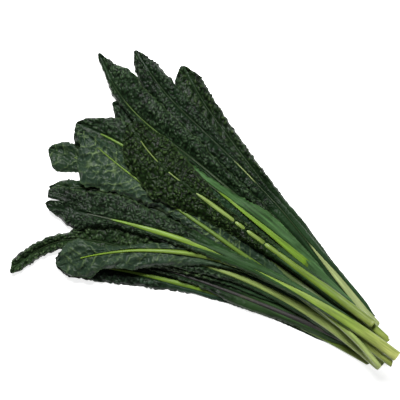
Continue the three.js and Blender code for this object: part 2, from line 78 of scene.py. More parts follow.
# From the bottom of the pile to the top.
leaves = [
    {
        "root": (11, 14.8), "heading": (1, 29, -1), "length": 326, "foot": 45, "tip": (5, 0.4),
        "edge": (
            ((45, 5), (100, 5.5), (124, 6.5), (148, 6.5), (178, 7), (202, 8), (228, 11.4), (258, 13.8),
             (288, 14.4), (314, 14), (326, 9)),
            ((45, 6), (100, 7), (150, 10), (220, 18), (290, 16), (326, 11)),
        ),
        "blisterFrom": (170, 250), "blister": 1.3,
        "dark": (0.006, 0.016, 0.006), "mid": (0.014, 0.034, 0.013), "crestHighlight": (0.036, 0.066, 0.040),
        "plain": (0.022, 0.055, 0.028), "pale": ((0, 275),),
        "ribHalf": ((0, 3.4), (150, 3.1), (215, 2.1), (270, 0.9), (326, 0.4)),
        "stalkMid": (0.15, 0.27, 0.028), "stalkTip": (0.21, 0.36, 0.03),
        "sway": ((0, 0), (120, 1.3), (200, 4), (326, 4)),
    },
    {
        "root": (30.2, -17.6), "heading": (-19, -19, -10), "length": 312, "foot": 24, "tip": (4, 0.5),
        "blunt": (7, 11),
        "edge": (
            ((24, 7), (80, 9), (150, 12), (220, 15), (285, 17), (297, 17), (306, 15), (312, 12)),
            ((24, 8.2), (73, 7), (116, 8.2), (138, 7.2), (165, 7), (186, 7.9), (205, 7.7), (224, 9),
             (282, 10.7), (297, 10.4), (306, 8.6), (312, 6)),
        ),
        "blisterFrom": (130, 200), "dark": (0.006, 0.016, 0.005), "mid": (0.017, 0.038, 0.014),
        "crestHighlight": (0.050, 0.078, 0.026), "plain": (0.018, 0.046, 0.016), "pale": ((0, 128),),
        "ribHalf": ((0, 4.0), (25, 3.6), (56, 2.8), (90, 1.6), (123, 0.8), (200, 0.5), (312, 0.4)),
        "stalkEnd": (0.40, 0.47, 0.20), "stalkMid": (0.42, 0.50, 0.22), "stalkTip": (0.16, 0.24, 0.08),
    },
    {
        "root": (12, -6.5), "heading": (-8, -11, 7), "length": 352, "foot": 130, "half": (22, 21),
        "tip": (4, 0.55),
        "dark": (0.006, 0.014, 0.008), "step": 1.3,
    },
    {
        "root": (2, 3), "heading": (2, -4, 18), "length": 386, "foot": 30, "tip": (12, 0.25),
        "edge": (
            ((30, 7), (80, 9.5), (180, 8), (300, 9), (347, 10.8), (362, 17), (374, 19),
             (380, 15.5), (386, 10)),
            ((30, 6), (80, 9), (180, 12), (300, 14), (350, 13), (378, 11.5), (386, 6.5)),
        ),
        **netted, "dark": (0.009, 0.022, 0.010), "mid": (0.019, 0.040, 0.019), "pale": ((0, 200), (345, 372)),
        "step": 1.1,
    },
    {
        "root": (12.1, 5.1), "heading": (7, 19, 11), "length": 301, "foot": 30, "tip": (3, 0.6),
        "edge": (
            ((30, 6.5), (80, 8), (104, 9), (128, 10), (152, 10), (176, 6), (270, 4.5), (301, 2)),
            ((30, 7), (80, 9), (150, 9), (220, 10), (270, 9), (301, 3)),
        ),
        "pale": ((0, 290),), "step": 1.3, "stalkEnd": (0.10, 0.10, 0.06), "stalkMid": (0.050, 0.046, 0.044),
        "stalkTip": (0.040, 0.040, 0.036), "plain": (0.030, 0.070, 0.020),
    },
    {
        "root": (5, -2.5), "heading": (4, 26, 53), "length": 395, "foot": 110, "half": (12, 20),
        "tip": (3, 0.6), "finger": (0.7, 7.6),
        "blisterFrom": (150, 210), "pale": ((0, 90),), "cell": 3.5,
        "ribHalf": ((0, 3.4), (120, 2.4), (180, 0.7), (395, 0.35)),
        "dark": (0.011, 0.027, 0.009), "mid": (0.032, 0.064, 0.021), "crestHighlight": (0.085, 0.135, 0.055),
        "step": 0.9,
    },
    {
        "root": (10, -12), "heading": (-3, -4, 14), "length": 368, "foot": 30, "tip": (8, 0.3),
        "edge": (
            ((30, 8), (110, 11), (180, 13), (260, 18), (330, 18), (352, 20), (362, 21.5), (368, 20)),
            ((30, 7), (110, 10), (180, 13), (260, 18), (325, 21.4), (335, 20.4), (346, 15.3), (359, 11),
             (368, 7.5)),
        ),
        "curl": 4.5, "pale": ((0, 180), (300, 345)),
        "ribHalf": ((0, 3.4), (200, 2.2), (310, 1.5), (345, 0.8), (368, 0.4)),
        "stalkTip": (0.16, 0.28, 0.04), "step": 1.05,
    },
    {
        "root": (26, -20.5), "heading": (-19, -6, -18), "length": 356, "foot": 10, "tip": (3, 0.55),
        "edge": (
            ((10, 6), (30, 8.5), (60, 9.5), (120, 9.5), (200, 14), (280, 17), (320, 15), (340, 11),
             (351, 8), (356, 5.5)),
            ((10, 6), (30, 7), (90, 7), (157, 5), (217, 6), (239, 9), (261, 11.8), (300, 13.2),
             (321, 12), (331, 11.6), (340, 8.4), (351, 6), (356, 4)),
        ),
        "blisterFrom": (120, 190), "pale": ((0, 96), (188, 205)), "cell": 3.1,
        "sway": ((0, 1), (20, 2.8), (90, 2.8), (150, 0)),
        "ribHalf": ((0, 3.6), (20, 3.4), (60, 2.8), (80, 1.8), (100, 0.8), (200, 0.7), (356, 0.4)),
        "dark": (0.004, 0.013, 0.004), "mid": (0.012, 0.030, 0.012), "crestHighlight": (0.046, 0.076, 0.038),
        "stalkEnd": (0.36, 0.43, 0.17), "stalkMid": (0.42, 0.50, 0.20), "stalkTip": (0.20, 0.30, 0.08),
        "plain": (0.018, 0.050, 0.016), "step": 0.9,
    },
    {
        "root": (5.2, 10), "heading": (-8, 27, 9), "length": 286, "foot": 18, "tip": (3, 0.6),
        "edge": (
            ((18, 6), (80, 7.3), (96, 7.6), (145, 5.8), (176, 7.4), (206, 10), (250, 10), (286, 3)),
            ((18, 8), (60, 9), (80, 8), (150, 7), (206, 8), (250, 7), (286, 3)),
        ),
        "ribHalf": ((0, 6.0), (40, 5.4), (110, 3.5), (150, 2.6), (200, 1.4), (286, 0.5)),
        # this stalk is pale lime, and its colours are made lighter still to make up for the shade that the
        # leaves above throw on it: painted light
        "pale": ((0, 225),), "stalkEnd": (0.62, 0.70, 0.30),
        "stalkMid": (0.48, 0.62, 0.17), "stalkTip": (0.14, 0.22, 0.05),
    },
    {
        "root": (15.2, 1.6), "heading": (-12, 23, 11), "length": 362, "foot": 40, "tip": (2, 0.5),
        "edge": (
            ((40, 7), (70, 8), (120, 9), (180, 12), (240, 14), (290, 9), (331, 3.4), (352, 3.4), (362, 2.4)),
            ((40, 6.5), (70, 7), (120, 8), (180, 9), (240, 11), (300, 9), (322, 6.6), (334, 6.2), (344, 7.7),
             (354, 5.6), (362, 2.6)),
        ),
        **underSide, "dark": (0.007, 0.018, 0.008), "mid": (0.015, 0.034, 0.014), "veinShare": 0.3,
        "ribHalf": ((0, 3.4), (100, 3.8), (180, 4.9), (215, 4.3), (250, 2), (300, 0.8), (362, 0.4)),
        "pale": ((0, 235),), "stalkMid": (0.085, 0.13, 0.035), "stalkTip": (0.105, 0.155, 0.045),
    },
    {
        "root": (2, 2.5), "heading": (-3, -1, -8), "length": 371, "foot": 100, "tip": (5, 0.3),
        "edge": (
            ((100, 5), (180, 8), (240, 9), (261, 10), (276, 14), (307, 24), (319, 29), (335, 36.5),
             (344, 28), (363, 11), (371, 8)),
            ((100, 5), (180, 14), (240, 16), (323, 13), (352, 9), (371, 4)),
        ),
        **underSide, "blister": 1.2, "step": 0.9, "veinShare": 1.3, "ragged": 2, "pale": ((0, 340),),
        "stalkTip": (0.17, 0.29, 0.04),
        "ribHalf": ((0, 3.4), (200, 2.0), (310, 0.9), (345, 0.5), (371, 0.3)),
    },
    {
        "root": (14.7, -6.9), "heading": (-17, 2, -35), "length": 394, "tip": (2, 0.75),
        "edge": (
            ((80, 5), (160, 9), (260, 10), (320, 7.4), (342, 5.6), (351, 6.8), (364, 5), (378, 2.8),
             (394, 2.2)),
            ((80, 5), (180, 11), (238, 14.5), (284, 20.8), (306, 23), (352, 23.2), (366, 19.5),
             (374, 14.8), (381, 9.6), (394, 4)),
        ),
        "pale": ((0, 100), (300, 336)), "ribHalf": ((0, 3.4), (200, 1.5), (300, 0.6), (394, 0.35)),
        "blister": 2.1, "cell": 3.0,
        "dark": (0.006, 0.016, 0.006), "mid": (0.018, 0.042, 0.016), "crestHighlight": (0.064, 0.105, 0.050),
        "step": 0.88, "stalkTip": (0.12, 0.19, 0.05),
    },
    {
        "root": (12.3, 11.2), "heading": (-19, 52, 0), "length": 338, "foot": 100, "tip": (5, 0.3),
        "edge": (
            ((100, 5), (154, 5.6), (181, 7), (214, 12.5), (262, 17.8), (293, 14.2), (311, 22), (320, 18),
             (329, 16.2), (338, 11)),
            ((100, 5.5), (203, 8.4), (237, 7.4), (273, 5), (293, 6.4), (311, 18.4), (327, 17), (338, 10)),
        ),
        **underSide, "mid": (0.036, 0.062, 0.036), "step": 0.9, "pale": ((0, 318),),
        "blisterFrom": (150, 230), "plain": (0.040, 0.085, 0.035),
        "ribHalf": ((0, 2.6), (60, 2.8), (150, 3.2), (193, 2.8), (250, 1.7), (300, 0.8), (338, 0.4)),
        "stalkEnd": (0.46, 0.54, 0.20), "stalkMid": (0.28, 0.40, 0.08), "stalkTip": (0.17, 0.30, 0.022),
    },
    {
        "root": (16, -13.5), "heading": (-9, -3, -13), "length": 300, "foot": 40, "tip": (4, 0.5),
        "edge": (
            ((40, 5), (100, 8), (180, 12), (260, 12), (300, 4)),
            ((40, 5.2), (82, 5.5), (105, 9.3), (139, 13.5), (167, 14.3), (193, 9), (224, 6), (260, 6),
             (300, 3)),
        ),
        "smooth": 1, "plain": (0.052, 0.125, 0.038), "mid": (0.020, 0.052, 0.022), "pale": ((0, 206),),
        "sway": ((0, 0), (60, -1), (100, -3.8), (200, -3.8), (300, 0)),
        "ribHide": ((42, 113, 0, 9),), "ribHalf": ((0, 3.4), (105, 3.5), (150, 2.4), (212, 0.9), (300, 0.4)),
        "stalkMid": (0.17, 0.31, 0.022), "stalkTip": (0.18, 0.33, 0.025), "step": 0.95,
    },
    {
        "root": (-4.1, -5.1), "heading": (-5, 26, 0), "length": 371, "foot": 50, "tip": (12, 0.22),
        "ribTo": 0.89, "blunt": (4, 0), "notch": 17,
        "edge": (
            ((50, 5), (235, 6.4), (293, 7.4), (315, 10.4), (328, 14), (338, 17.8), (350, 15), (362, 8),
             (371, 4)),
            ((50, 5), (147, 6.2), (189, 7), (218, 10.8), (263, 17), (295, 23.6), (322, 23.2), (358, 20.4),
             (371, 18.8)),
        ),
        "step": 0.85, "blisterFrom": (190, 250), "pale": ((0, 300),), "ribHide": ((58, 238, 108, 45),),
        "trim": 9, "cell": 3.1, "rib": (0.06, 0.075, 0.05),
        "ribHalf": ((0, 5.1), (120, 4.4), (215, 2.9), (262, 2.4), (300, 1.0), (345, 0.5)),
        "dark": (0.008, 0.019, 0.008), "mid": (0.018, 0.038, 0.016), "crestHighlight": (0.060, 0.095, 0.048),
        "plain": (0.030, 0.078, 0.022), "stalkEnd": (0.62, 0.64, 0.20), "stalkMid": (0.26, 0.38, 0.06),
        "stalkTip": (0.18, 0.33, 0.03),
    },
    {
        "root": (32, -18.5), "heading": (-3, -3, -22), "length": 305, "foot": 24, "tip": (11, 0.25),
        "edge": (
            ((24, 5), (107, 7), (152, 10.5), (197, 17), (223, 25), (238, 28.5), (261, 26.4), (278, 23),
             (294, 15.5), (305, 9)),
            ((24, 5), (88, 6), (115, 7), (150, 5.9), (182, 5.8), (197, 9.5), (207, 14), (240, 20.7),
             (265, 21.8), (290, 14.8), (305, 8)),
        ),
        "step": 0.8, "blister": 2.7, "cell": 3.1, "blisterFrom": (95, 150), "plain": (0.022, 0.058, 0.018),
        "dark": (0.004, 0.012, 0.002), "mid": (0.010, 0.027, 0.005), "crestHighlight": (0.056, 0.096, 0.027),
        "pale": ((0, 290),), "trim": 6,
        "ribHide": (
            (112, 118, 3, 2), (127, 131, 2, 1), (146, 157, 5, 3), (162, 169, 3, 2), (204, 236, 8, 8),
            (240, 262, 5, 6),
        ),
        "ribHalf": (
            (0, 4.1), (60, 4.0), (110, 2.6), (165, 1.9), (190, 2.2), (205, 1.6), (212, 0.7), (235, 0.6),
            (305, 0.45),
        ),
        "stalkEnd": (0.28, 0.33, 0.08), "stalkMid": (0.17, 0.27, 0.03), "stalkTip": (0.34, 0.45, 0.14),
    },
]
leaves = [{**leafShape, **leaf} for leaf in leaves]

# How margins run. They are smoother on the part of a leaf that is near the stalks.
margin = {
    "calm": 0.35, "calmTo": 110, "calmFade": 110, "least": 4,
    "slowPitch": 13, "slow": 0.045, "middlePitch": 7, "middle": 0.6,
    "scallopPitch": 4, "scallop": 1.6, "scallopLevel": 0.4,
    "corner": 4.5, "cornerShare": 0.95, "footWidth": 0.72, "footLength": 14,
    "lobe": 1.6, "lobePitch": 4.5, "lobeSpan": 110, "lobeFrom": 50, "splitAt": -0.5, "splitWidth": 0.11,
}
# The puffed cells between the veins, as shares of a cell.
puffs = {"bend": 0.3, "bendLength": 2.2, "stretch": 1.1, "dropped": 0.16, "size": (0.3, 1.3), "steep": 1.35}
# The side veins. slant and bow: how far back from the margin they start.
veins = {
    "apart": 12.5, "scatter": 3, "first": 12, "slant": 0.62, "bow": 0.012, "bend": 1.3, "bendPitch": 9,
    "straightTo": 8, "squeeze": 0.8,
}
# The relief of a blade.
relief = {
    "growth": 60, "veinWidth": 0.7, "valleyWidth": 1.5, "sunk": 0.35, "sunkInNet": 0.8, "clearOfRib": 0.2,
    "rise": 1.8, "calmBelow": 0.6, "borderWidth": 0.3, "waveLength": 12, "marginFrom": 0.7,
    "slowPitch": 11, "fastPitch": 4.5, "fast": 0.6, "overRib": 2.6, "besideRib": 1.3, "thickness": 0.55,
}
# The round bar of a stalk and its rib.
bar = {
    "sides": 20, "cutRim": 0.16, "station": 3.2, "overBlade": 0.15, "overBladeDown": 0.7, "sink": 2.5,
    "middle": 0.45, "middleDown": 0.35, "flutes": 8, "fluteTurn": 0.02, "fluteDepth": 0.035,
    "squareAcross": 0.95, "squareUp": 0.9, "groove": 0.05, "grooveWidth": 0.3,
    "endRound": 0.1, "endLength": 1.3, "drift": 0.25, "driftPitch": 30,
    "slant": 1.3, "slantTurn": 2.1, "bulge": 0.25, "lowest": 0.05, "smoothAngle": 50,
}
# Each random line or field has its own seed, to which the leaf's number is added.
seeds = {
    "cells": 500, "bendAlong": 600, "bendAcross": 620, "veinStrength": 700, "wave": 800,
    "veinRoots": 900, "veinBend": 1200, "slowRuffle": 40, "fastRuffle": 60, "drift": 300,
}


def smoothStep(x):
    x = np.clip(x, 0, 1)
    return x * x * (3 - 2 * x)


def mix(a, b, share):
    return a + (b - a) * share


def wander(seed, length, pitch):
    # a smooth random line with a turn about every pitch millimetres
    draws = np.random.default_rng(seed).uniform(-1, 1, int(length / pitch) + 8)

    def at(s):
        place = np.clip(s / pitch + 2, 0, len(draws) - 2.001)
        whole = place.astype(int)
        return mix(draws[whole], draws[whole + 1], smoothStep(place - whole))

    return at


def centreLine(leaf):
    first, last, hook = leaf["heading"]
    length = leaf["length"]
    s = np.linspace(0, length, 801)

    def headingAt(share):
        return np.radians(first + (last - first) * share + hook * smoothStep((share - 0.72) / 0.28))

    middle = headingAt((s[1:] + s[:-1]) / 2 / length)
    step = s[1]
    x = leaf["root"][0] + np.concatenate([[0], np.cumsum(np.cos(middle) * step)])
    y = leaf["root"][1] + np.concatenate([[0], np.cumsum(np.sin(middle) * step)])
    return s, x - bunch["middle"][0], y - bunch["middle"][1], headingAt(s / length)


def placeOn(leaf, s, offset):
    line, x, y, heading = centreLine(leaf)
    turn = np.interp(s, line, heading)
    offset = offset + np.interp(s, *zip(*leaf["sway"]))
    return (
        np.interp(s, line, x) - np.sin(turn) * offset,
        np.interp(s, line, y) + np.cos(turn) * offset,
    )


def stalkHalf(leaf, s):
    if leaf["ribHalf"]:
        at, half = zip(*leaf["ribHalf"])
        return np.interp(s, at, half)
    return mix(3.4, 0.6, np.clip(s / (0.93 * leaf["length"]), 0, 1) ** 0.8)


def bladeHalf(leaf, side, s):
    if leaf["edge"]:
        at, half = zip(*leaf["edge"][side])
        least = np.where(s < leaf["ribTo"] * leaf["length"], margin["least"], 0)
        return np.maximum(np.interp(s, at, half), least)
    share = (s - leaf["foot"]) / (leaf["length"] - leaf["foot"])
    tipHalf, roundness = leaf["tip"]
    stalk = stalkHalf(leaf, s)
    narrow = stalk + bunch["slotGap"] + bunch["wingStart"]
    past = np.clip((share - leaf["peak"]) / (1 - leaf["peak"]), 0, 1)
    fall = (1 - past * past) ** roundness
    full = tipHalf + (leaf["half"][side] - tipHalf) * smoothStep(share / leaf["peak"]) * fall
    least = mix(narrow, stalk + leaf["wing"], smoothStep(share / 0.15)) * np.where(past > 0, fall, 1)
    half = np.maximum(least, mix(narrow, full, smoothStep(share / 0.3)))
    if leaf["finger"]:
        at, width = leaf["finger"]
        half = mix(half, np.minimum(half, width), smoothStep((share - at) / 0.06))
    return half


def widestHalf(leaf):
    return max(leaf["half"] or [half for side in leaf["edge"] for at, half in side])


def outline(leaf, number, s, t):
    # t runs from -1 at the -Y margin to 1 at the +Y margin
    length = leaf["length"]
    late = np.clip((s / length - leaf["ribTo"]) / (1 - leaf["ribTo"]), 0, 1)
    half = np.where(t > 0, bladeHalf(leaf, 0, s), bladeHalf(leaf, 1, s))
    ageing = mix(margin["calm"], 1, smoothStep((s - margin["calmTo"]) / margin["calmFade"]))
    grown = smoothStep((s - leaf["foot"]) / relief["growth"])
    for side in (0, 1):
        seed = number * 10 + side
        slow = wander(seed, length, margin["slowPitch"])(s)
        slow = slow + margin["middle"] * wander(seed + 4, length, margin["middlePitch"])(s)
        scallop = np.abs(wander(seed + 2, length, margin["scallopPitch"])(s)) - margin["scallopLevel"]
        uneven = leaf["ragged"] * (margin["slow"] * half * slow + margin["scallop"] * scallop)
        half = np.where((t > 0) == (side == 0), half + uneven * grown * ageing, half)
    corner = min(leaf["tip"][0], margin["corner"])
    cap = np.clip((length - s) / corner, 0, 1)
    half = half - np.minimum(margin["cornerShare"] * half, corner) * (1 - np.sqrt(1 - (1 - cap) ** 2))
    half = half * mix(margin["footWidth"], 1, smoothStep((s - leaf["foot"]) / margin["footLength"]))
    side = np.where(t > 0, leaf["blunt"][0], leaf["blunt"][1])
    split = leaf["notch"] * np.exp(-(((t - margin["splitAt"]) / margin["splitWidth"]) ** 4))
    lobe = wander(number * 10 + 7, margin["lobeSpan"], margin["lobePitch"])
    lobes = margin["lobe"] * leaf["ragged"] * np.abs(lobe(margin["lobeFrom"] + t * half))
    return s - late * (side * t * t + split + lobes), t * half


def surfaceTree(name):
    mesh = nodes[name].data
    points = np.empty(len(mesh.vertices) * 3)
    mesh.vertices.foreach_get("co", points)
    faces = [tuple(face.vertices) for face in mesh.polygons]
    return BVHTree.FromPolygons(points.reshape(-1, 3).tolist(), faces)


def heights(tree, x, y, down=True):
    # height in mm of a node's upper or lower face under each point, nan where it has none
    found = np.full(len(x), np.nan)
    start, way = (0.3, Vector((0, 0, -1))) if down else (-0.1, Vector((0, 0, 1)))
    for k in range(len(x)):
        hit = tree.ray_cast(Vector((x[k] * mm, y[k] * mm, start)), way)[0]
        if hit is not None:
            found[k] = hit.z / mm
    return found


def fillGaps(table):
    # along each row first, then from row to row
    rows, columns = table.shape
    for row in table:
        known = ~np.isnan(row)
        if known.sum() > 1:
            row[:] = np.interp(np.arange(columns), np.flatnonzero(known), row[known])
    for column in table.T:
        known = ~np.isnan(column)
        column[:] = np.interp(np.arange(rows), np.flatnonzero(known), column[known])
    return table


def blur(table, times, axis):
    for _ in range(times):
        wide = np.concatenate([table.take([0], axis), table, table.take([-1], axis)], axis)
        count = table.shape[axis]
        before, after = wide.take(range(count), axis), wide.take(range(2, count + 2), axis)
        table = 0.25 * before + 0.5 * table + 0.25 * after
    return table


def netOf(leaf, number, trees):
    # how high the solid blade lies, on a coarse net of the leaf and smoothed free of its facets, and
    # which part of it the leaves above cover
    s = np.linspace(leaf["foot"], leaf["length"], 91)
    t = np.linspace(-0.96, 0.96, 25)
    gridS, gridT = np.meshgrid(s, t, indexing="ij")
    onS, offset = outline(leaf, number, gridS, gridT)
    x, y = placeOn(leaf, onS.ravel(), offset.ravel())
    table = fillGaps(heights(trees[number - 1], x, y).reshape(gridS.shape))
    lay = blur(blur(table, 5, 0), 2, 1)
    cover = np.zeros(len(x), bool)
    for tree in trees[number:]:
        cover |= ~np.isnan(heights(tree, x, y))
    return (s, t, lay), (s, t, blur(blur(cover.reshape(gridS.shape) * 1.0, 1, 0), 1, 1))


def readNet(net, s, t):
    rows, columns, table = net
    i = np.clip((s - rows[0]) / (rows[1] - rows[0]), 0, len(rows) - 1.001)
    j = np.clip((t - columns[0]) / (columns[1] - columns[0]), 0, len(columns) - 1.001)
    a, b = i.astype(int), j.astype(int)
    i, j = i - a, j - b
    return mix(mix(table[a, b], table[a, b + 1], j), mix(table[a + 1, b], table[a + 1, b + 1], j), i)


def ripple(seed, a, b, wavelength):
    # a smooth random field over two coordinates, about -1 to 1
    draw = np.random.default_rng(seed)
    field = np.zeros(len(a))
    for _ in range(7):
        turn, phase = draw.uniform(0, 2 * math.pi, 2)
        pace = 2 * math.pi / (wavelength * draw.uniform(0.6, 1.6))
        field += np.sin(pace * (a * math.cos(turn) + b * math.sin(turn)) + phase)
    return field / 2.6


def cells(leaf, number, s, offset):
    # puffed cells of the leaf: 0 at the border between two cells, up to 1 inside
    cell = leaf["cell"]
    draw = np.random.default_rng(seeds["cells"] + number)
    bendLength = puffs["bendLength"] * cell
    bent = s + puffs["bend"] * cell * ripple(seeds["bendAlong"] + number, s, offset, bendLength)
    sideways = offset + puffs["bend"] * cell * ripple(seeds["bendAcross"] + number, s, offset, bendLength)
    widest = widestHalf(leaf) + 6
    across = np.arange(-widest, widest, cell)
    alongLeaf = np.arange(leaf["foot"] - 10, leaf["length"] + 10, cell * puffs["stretch"])
    gridS, gridO = np.meshgrid(alongLeaf, across, indexing="ij")
    gridS = (gridS + draw.uniform(-0.5, 0.5, gridS.shape) * cell).ravel()
    gridO = (gridO + draw.uniform(-0.5, 0.5, gridO.shape) * cell).ravel()
    kept = draw.random(len(gridS)) > puffs["dropped"]
    gridS, gridO = gridS[kept], gridO[kept]
    tree = kdtree.KDTree(len(gridS))
    for k, (a, b) in enumerate(zip(gridS, gridO)):
        tree.insert((a, b, 0), k)
    tree.balance()
    size = draw.uniform(*puffs["size"], len(gridS))
    dome, height = np.empty(len(s)), np.empty(len(s))
    for k in range(len(s)):
        (_, first, near), (_, _, far) = tree.find_n((bent[k], sideways[k], 0), 2)
        inside = min(1, puffs["steep"] * (far - near) / (far + near))
        dome[k] = 1 - (1 - inside) ** 2
        height[k] = size[first]
    return dome, height


def sideVeins(leaf, number, s, offset):
    # distance in mm to the nearest side vein
    away = np.maximum(0, np.abs(offset) - stalkHalf(leaf, s))
    nearest = np.full(len(s), 99.0)
    for side in (0, 1):
        draw = np.random.default_rng(seeds["veinRoots"] + number * 2 + side)
        bend = wander(seeds["veinBend"] + number * 2 + side, leaf["length"], veins["bendPitch"])
        start = s - veins["slant"] * away - veins["bow"] * away * away
        start = start + veins["bend"] * bend(s + 3 * away) * np.clip(away / veins["straightTo"], 0, 1)
        roots = np.arange(leaf["foot"] + veins["first"], leaf["length"], veins["apart"])
        roots = roots + draw.uniform(-veins["scatter"], veins["scatter"], len(roots))
        distance = np.abs(start[:, None] - roots[None, :]).min(1) * veins["squeeze"]
        nearest = np.where((offset > 0) == (side == 0), distance, nearest)
    return nearest


def setAttribute(mesh, name, values):
    layer = mesh.attributes.new(name, "FLOAT", "POINT")
    layer.data.foreach_set("value", np.asarray(values, np.float32))


def deselectAll():
    if bpy.context.object and bpy.context.object.mode != "OBJECT":
        bpy.ops.object.mode_set(mode="OBJECT")
    bpy.ops.object.select_all(action="DESELECT")


def applyModifier(piece, kind, **settings):
    bpy.ops.object.modifier_add(type=kind)
    modifier = piece.modifiers[-1]
    for key, value in settings.items():
        setattr(modifier, key, value)
    bpy.ops.object.modifier_apply(modifier=modifier.name)


# Heights of what has been laid so far, so that a leaf can be kept clear of the blisters under it.
pile = {"cell": 1.4, "low": (-215, -150), "count": (308, 215), "clear": 0.85}
pileTop = np.zeros(pile["count"])


def pileCell(x, y):
    cell = pile["cell"]
    return (
        np.clip(((x - pile["low"][0]) / cell).astype(int), 0, pile["count"][0] - 2),
        np.clip(((y - pile["low"][1]) / cell).astype(int), 0, pile["count"][1] - 2),
    )


def readPile(x, y):
    i, j = pileCell(x, y)
    return np.maximum.reduce([pileTop[i + a, j + b] for a in (0, 1) for b in (0, 1)])


def addToPile(x, y, z):
    i, j = pileCell(x + pile["cell"] / 2, y + pile["cell"] / 2)
    np.maximum.at(pileTop, (i, j), z)


def makeBlade(leaf, number, trees):
    length, foot = leaf["length"], leaf["foot"]
    across = int(1.9 * widestHalf(leaf) / leaf["step"]) + 4
    alongLeaf = int((length - foot) / leaf["step"])
    deselectAll()
    bpy.ops.mesh.primitive_grid_add(x_subdivisions=across, y_subdivisions=alongLeaf, size=1)
    blade = bpy.context.object
    blade.name = f"kaleBlade{number:02d}"
    mesh = blade.data
    points = np.empty(len(mesh.vertices) * 3)
    mesh.vertices.foreach_get("co", points)
    points = points.reshape(-1, 3)
    t = np.clip(-2 * points[:, 0], -1, 1)
    s = foot + (points[:, 1] + 0.5) * (length - foot)
    onS, offset = outline(leaf, number, s, t)
    x, y = placeOn(leaf, onS, offset)
    lay, cover = netOf(leaf, number, trees)
    covered = readNet(cover, s, t)

    rib = stalkHalf(leaf, s)
    away = np.maximum(0, np.abs(offset) - rib)
    grown = smoothStep((s - foot) / relief["growth"])
    low, high = leaf["blisterFrom"]
    blistered = mix(0.05, 1, smoothStep((s - low) / (high - low)))
    if leaf["smooth"] is not None:
        blistered *= np.where((t > 0) == (leaf["smooth"] == 0), 0.05, 1)
    dome, size = cells(leaf, number, onS, offset)
    veinGap = sideVeins(leaf, number, onS, offset)
    vein = np.exp(-((veinGap / relief["veinWidth"]) ** 2)) * np.clip(1.1 - 0.7 * np.abs(t) ** 2, 0, 1)
    vein *= np.clip(0.75 + 0.5 * ripple(seeds["veinStrength"] + number, onS, offset, 14), 0.25, 1)
    sunk = relief["sunkInNet"] if leaf["netted"] else relief["sunk"]
    puffed = dome * size * (1 - sunk * np.exp(-((veinGap / relief["valleyWidth"]) ** 2)))
    fade = blistered * smoothStep((away - relief["clearOfRib"]) / relief["rise"])
    fade = fade * (1 - 0.3 * smoothStep((np.abs(t) - 0.9) / 0.1))
    fade *= 1 - relief["calmBelow"] * covered
    border = np.exp(-((dome / relief["borderWidth"]) ** 2))
    if leaf["netted"]:
        raised = (0.7 * vein + 0.25 * border) * blistered * (1 - relief["calmBelow"] * covered)
        detail = -leaf["blister"] * puffed * fade + raised
    else:
        detail = leaf["blister"] * puffed * fade - 0.15 * vein * fade

    detail += leaf["wave"] * ripple(seeds["wave"] + number, onS, offset, relief["waveLength"]) * fade
    edge = smoothStep((np.abs(t) - relief["marginFrom"]) / 0.3)
    ruffles = np.zeros(len(s))
    for side in (0, 1):
        slow = wander(seeds["slowRuffle"] + number * 4 + side, length, relief["slowPitch"])(s)
        fast = wander(seeds["fastRuffle"] + number * 4 + side, length, relief["fastPitch"])(s)
        ruffles = np.where((t > 0) == (side == 0), slow + relief["fast"] * fast, ruffles)
    detail += (leaf["ruffle"] * ruffles * edge - leaf["curl"] * edge * edge) * grown
    wings = np.clip(1 - np.abs(offset) / rib, 0, 1)
    hidden = np.zeros(len(s))
    for low, high, opening, point in leaf["ribHide"]:
        hidden += smoothStep((s - low - opening * wings) / 4) * smoothStep((high - point * wings - s) / 3)
    near = np.exp(-((offset / (rib + 0.3)) ** 4)) * smoothStep((leaf["ribTo"] * length - s) / 6)
    detail += near * (relief["overRib"] * np.clip(hidden, 0, 1) - relief["besideRib"])
    z = np.maximum(readNet(lay, s, t) + detail, bunch["lowest"])

    # the whole leaf is lifted off what lies under its rib, then every point for itself
    need = np.maximum(0, readPile(x, y) + pile["clear"] - z)
    rows = np.linspace(foot, length, 60)
    row = np.clip(np.rint((s - foot) / (rows[1] - rows[0])).astype(int), 0, 59)
    lift = np.zeros(60)
    np.maximum.at(lift, row, need * (np.abs(offset) < 7))
    lift = blur(blur(lift[:, None], 6, 0), 1, 0)[:, 0]
    z = z + np.interp(s, rows, lift)
    z = np.maximum(z, readPile(x, y) + pile["clear"])
    addToPile(x, y, z)
    beside = np.full(60, -99.0)
    np.maximum.at(beside, row, np.where((np.abs(offset) < rib + 0.8) & (hidden < 0.5), z, -99.0))

    mesh.vertices.foreach_set("co", (np.stack([x, y, z], 1) * mm).ravel())
    loops = np.empty(len(mesh.loops), int)
    mesh.loops.foreach_get("vertex_index", loops)
    mesh.uv_layers[0].data.foreach_set("uv", np.stack([onS[loops], offset[loops]], 1).ravel() * 0.01)
    shown = np.clip(fade * 1.3, 0, 1)
    # mask for the painted highlight on the tops of the blisters
    setAttribute(mesh, "puffHighlight", dome * np.clip(size, 0, 1) * shown)
    # mask for the painted shade in the creases between the blisters
    setAttribute(mesh, "creviceShade", np.clip(1.2 - 1.7 * dome, 0, 1) * shown * (not leaf["netted"]))
    setAttribute(mesh, "vein", np.clip(vein + 0.8 * border * (1 - 0.4 * np.abs(t)), 0, 1) * blistered)
    # mask for the painted highlight along the margins
    setAttribute(mesh, "rim", smoothStep((np.abs(t) - 0.93) / 0.07) * grown)
    setAttribute(mesh, "blistered", blistered)
    mesh.update()
    applyModifier(blade, "SOLIDIFY", thickness=relief["thickness"] * mm, offset=-1)
    bpy.ops.object.shade_smooth()
    return blade, lambda at: (np.interp(at, rows, lift), np.interp(at, rows, beside))


